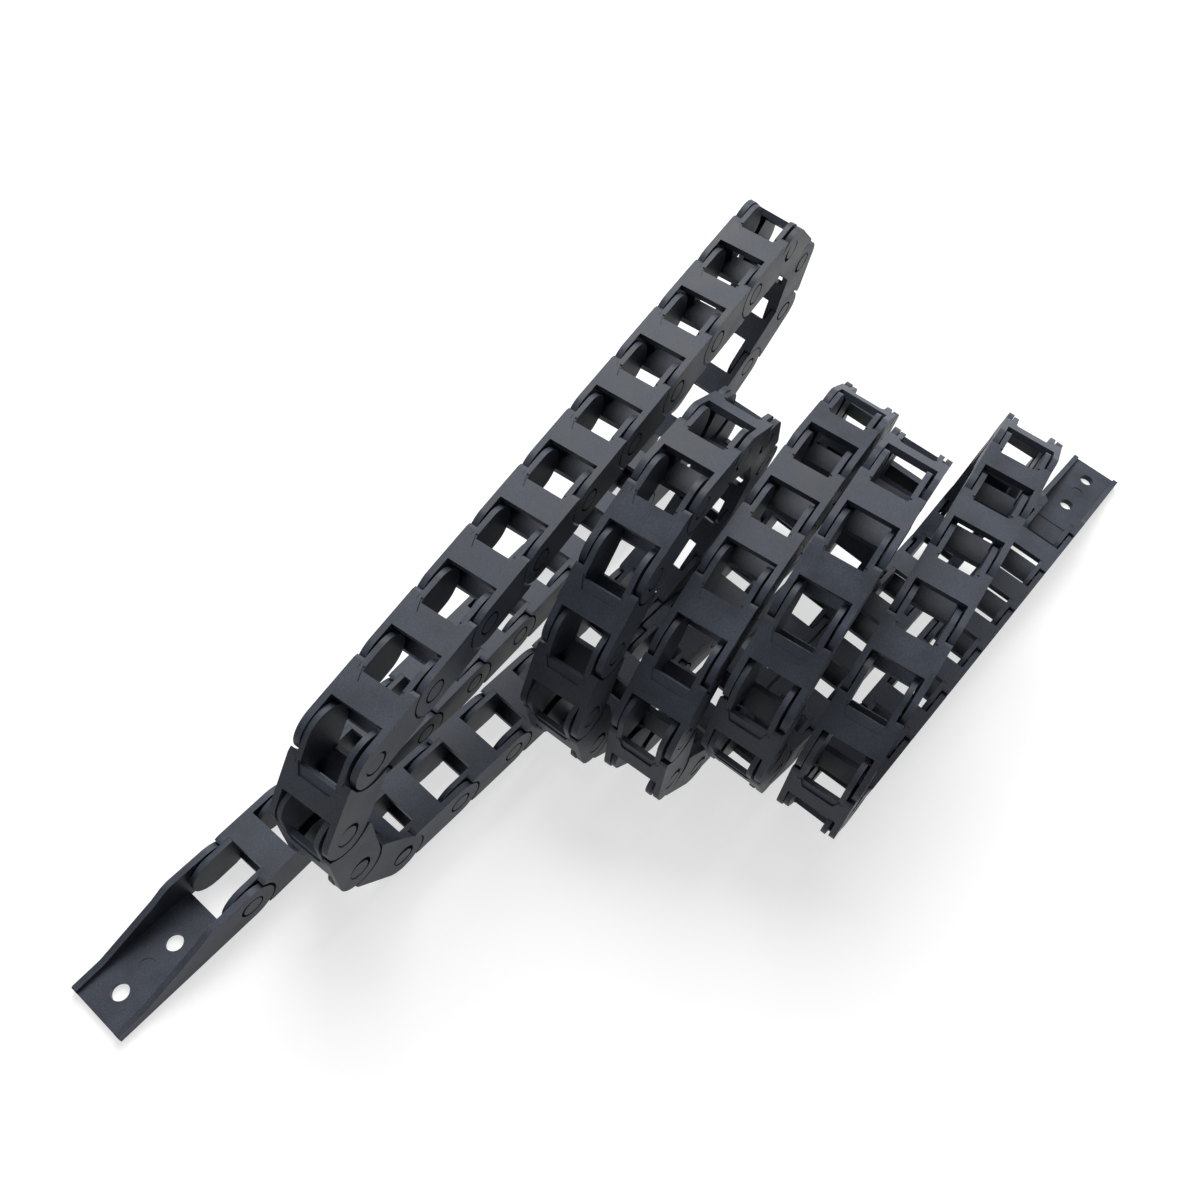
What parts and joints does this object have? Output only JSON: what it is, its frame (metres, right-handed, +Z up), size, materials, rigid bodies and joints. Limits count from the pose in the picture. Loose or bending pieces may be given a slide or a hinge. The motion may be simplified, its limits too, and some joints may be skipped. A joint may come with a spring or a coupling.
{
  "type": "cable drag chain",
  "caption": "Open-link plastic cable drag chain with end brackets, laid out as a coil of upright loops between two straight floor runs.",
  "frame": {"origin": "middle of the female bracket's two screw holes, on its underside", "axes": "+X runs along the female bracket towards its pin, along the coil's floor runs; +Y to the left; +Z up, square to the floor"},
  "size_m": [0.33, 0.1283, 0.0876],
  "materials": {
    "black_nylon": "fine moulded grain, black nylon"
  },
  "bodies": {
    "bracket_female": {"bracket_female": "black_nylon"},
    "link_01": {"link_01": "black_nylon"},
    "links_02_09": {"links_02_09": "black_nylon"},
    "links_10_12": {"links_10_12": "black_nylon"},
    "link_13": {"link_13": "black_nylon"},
    "link_14": {"link_14": "black_nylon"},
    "links_15_23": {"links_15_23": "black_nylon"},
    "link_24": {"link_24": "black_nylon"},
    "link_25": {"link_25": "black_nylon"},
    "link_26": {"link_26": "black_nylon"},
    "links_27_34": {"links_27_34": "black_nylon"},
    "links_35_40": {"links_35_40": "black_nylon"},
    "link_41": {"link_41": "black_nylon"},
    "link_42": {"link_42": "black_nylon"},
    "links_43_46": {"links_43_46": "black_nylon"},
    "link_47": {"link_47": "black_nylon"},
    "links_48_49": {"links_48_49": "black_nylon"},
    "links_50_54": {"links_50_54": "black_nylon"},
    "links_55_56": {"links_55_56": "black_nylon"},
    "link_57": {"link_57": "black_nylon"},
    "links_58_62": {"links_58_62": "black_nylon"},
    "links_63_70": {"links_63_70": "black_nylon"},
    "link_71": {"link_71": "black_nylon"},
    "links_72_76": {"links_72_76": "black_nylon"},
    "link_77": {"link_77": "black_nylon"},
    "links_78_84": {"links_78_84": "black_nylon"},
    "link_85": {"link_85": "black_nylon"},
    "link_86": {"link_86": "black_nylon"},
    "links_87_90": {"links_87_90": "black_nylon"},
    "link_91": {"link_91": "black_nylon"},
    "link_92": {"link_92": "black_nylon"},
    "bracket_male": {"bracket_male": "black_nylon"}
  },
  "joints": [
    {"name": "pin_01", "type": "hinge", "parent": "link_01", "child": "bracket_female", "pos_m": [0.0248, 0, 0.0065], "axis": [-0.0096, 1, 0], "range_deg": [0, 52]},
    {"name": "pin_02", "type": "hinge", "parent": "links_02_09", "child": "link_01", "pos_m": [0.0448, 0.00038, 0.0065], "axis": [0.0288, -0.9996, 0], "range_deg": [-52, 0]},
    {"name": "pin_10", "type": "hinge", "parent": "links_10_12", "child": "links_02_09", "pos_m": [0.20455, 0.00921, 0.0065], "axis": [-0.0512, 0.9987, 0.0009], "range_deg": [-40, 0]},
    {"name": "pin_13", "type": "hinge", "parent": "link_13", "child": "links_10_12", "pos_m": [0.24856, 0.01031, 0.04707], "axis": [-0.0383, 0.9987, 0.0325], "range_deg": [-45, 0]},
    {"name": "pin_14", "type": "hinge", "parent": "link_14", "child": "link_13", "pos_m": [0.24756, 0.0094, 0.06702], "axis": [-0.0691, 0.9968, 0.0404], "range_deg": [-45, 0]},
    {"name": "pin_15", "type": "hinge", "parent": "links_15_23", "child": "link_14", "pos_m": [0.23279, 0.00757, 0.08038], "axis": [-0.1026, 0.9946, 0.0146], "range_deg": [-49, 0]},
    {"name": "pin_24", "type": "hinge", "parent": "link_24", "child": "links_15_23", "pos_m": [0.05536, -0.01337, 0.0585], "axis": [-0.1011, 0.9943, -0.0332], "range_deg": [-49, 3]},
    {"name": "pin_25", "type": "hinge", "parent": "link_25", "child": "link_24", "pos_m": [0.04428, -0.01528, 0.04196], "axis": [-0.0653, 0.9958, -0.0638], "range_deg": [-36, 16]},
    {"name": "pin_26", "type": "hinge", "parent": "link_26", "child": "link_25", "pos_m": [0.04504, -0.01665, 0.02202], "axis": [0.0239, -0.9978, 0.062], "range_deg": [-15.1, 36.9]},
    {"name": "pin_27", "type": "hinge", "parent": "links_27_34", "child": "link_26", "pos_m": [0.05763, -0.01745, 0.0065], "axis": [0.0097, 0.9996, -0.0271], "range_deg": [-51.1, 0]},
    {"name": "pin_35", "type": "hinge", "parent": "links_35_40", "child": "links_27_34", "pos_m": [0.18994, -0.02238, 0.05071], "axis": [-0.0592, 0.9961, 0.0658], "range_deg": [-33, 0]},
    {"name": "pin_41", "type": "hinge", "parent": "link_41", "child": "links_35_40", "pos_m": [0.10435, -0.0348, 0.03853], "axis": [-0.0528, 0.9964, -0.0661], "range_deg": [-36, 0]},
    {"name": "pin_42", "type": "hinge", "parent": "link_42", "child": "link_41", "pos_m": [0.1089, -0.03598, 0.0191], "axis": [-0.0121, 0.9984, -0.056], "range_deg": [-37.9, 3.7]},
    {"name": "pin_43", "type": "hinge", "parent": "links_43_46", "child": "link_42", "pos_m": [0.12442, -0.03664, 0.0065], "axis": [-0.0149, -0.9996, 0.022], "range_deg": [-7.6, 39.1]},
    {"name": "pin_47", "type": "hinge", "parent": "links_43_46", "child": "link_47", "pos_m": [0.2044, -0.03846, 0.0065], "axis": [-0.0167, -0.9997, -0.0195], "range_deg": [-34, 18]},
    {"name": "pin_48", "type": "hinge", "parent": "link_47", "child": "links_48_49", "pos_m": [0.22099, -0.03907, 0.01766], "axis": [-0.0073, 0.9986, 0.0527], "range_deg": [-10.7, 38]},
    {"name": "pin_50", "type": "hinge", "parent": "links_48_49", "child": "links_50_54", "pos_m": [0.22014, -0.04191, 0.05526], "axis": [0.088, -0.9947, -0.0526], "range_deg": [-34, 11]},
    {"name": "pin_55", "type": "hinge", "parent": "links_50_54", "child": "links_55_56", "pos_m": [0.12701, -0.05328, 0.05553], "axis": [0.1007, -0.994, 0.042], "range_deg": [-24, 8.3]},
    {"name": "pin_57", "type": "hinge", "parent": "links_55_56", "child": "link_57", "pos_m": [0.11364, -0.05671, 0.02031], "axis": [0.0231, -0.998, 0.059], "range_deg": [-48.2, 3.8]},
    {"name": "pin_58", "type": "hinge", "parent": "link_57", "child": "links_58_62", "pos_m": [0.12809, -0.05742, 0.0065], "axis": [0.013, 0.9996, -0.0241], "range_deg": [-8.2, 43.8]},
    {"name": "pin_63", "type": "hinge", "parent": "links_58_62", "child": "links_63_70", "pos_m": [0.21547, -0.06028, 0.03332], "axis": [0.0337, -0.9973, -0.0652], "range_deg": [-35, 0]},
    {"name": "pin_71", "type": "hinge", "parent": "links_63_70", "child": "link_71", "pos_m": [0.13511, -0.07525, 0.01728], "axis": [0.0041, -0.9987, 0.051], "range_deg": [-34.3, 4.9]},
    {"name": "pin_72", "type": "hinge", "parent": "link_71", "child": "links_72_76", "pos_m": [0.15194, -0.07585, 0.0065], "axis": [0.0172, 0.9997, -0.0189], "range_deg": [-8.6, 32.7]},
    {"name": "pin_77", "type": "hinge", "parent": "links_72_76", "child": "link_77", "pos_m": [0.24889, -0.07826, 0.01707], "axis": [0.0073, -0.9986, -0.0519], "range_deg": [-41, 11]},
    {"name": "pin_78", "type": "hinge", "parent": "link_77", "child": "links_78_84", "pos_m": [0.25478, -0.07938, 0.03615], "axis": [-0.0521, 0.9965, 0.0647], "range_deg": [-9, 43]},
    {"name": "pin_85", "type": "hinge", "parent": "links_78_84", "child": "link_85", "pos_m": [0.13617, -0.09475, 0.04151], "axis": [0.0747, -0.9955, 0.0582], "range_deg": [-45, 7]},
    {"name": "pin_86", "type": "hinge", "parent": "link_85", "child": "link_86", "pos_m": [0.13519, -0.09619, 0.02158], "axis": [-0.026, 0.9978, -0.0612], "range_deg": [-8.1, 43.9]},
    {"name": "pin_87", "type": "hinge", "parent": "link_86", "child": "links_87_90", "pos_m": [0.1483, -0.09697, 0.0065], "axis": [-0.0107, -0.9996, 0.0264], "range_deg": [-49.1, 0]},
    {"name": "pin_91", "type": "hinge", "parent": "links_87_90", "child": "link_91", "pos_m": [0.22828, -0.09879, 0.0065], "axis": [0.0227, 0.9997, 0], "range_deg": [-52, 0]},
    {"name": "pin_92", "type": "hinge", "parent": "link_91", "child": "link_92", "pos_m": [0.24828, -0.09924, 0.0065], "axis": [-0.0227, -0.9997, 0], "range_deg": [0, 52]},
    {"name": "pin_93", "type": "hinge", "parent": "link_92", "child": "bracket_male", "pos_m": [0.26827, -0.0997, 0.0065], "axis": [-0.0227, -0.9997, 0], "range_deg": [0, 52]}
  ]
}
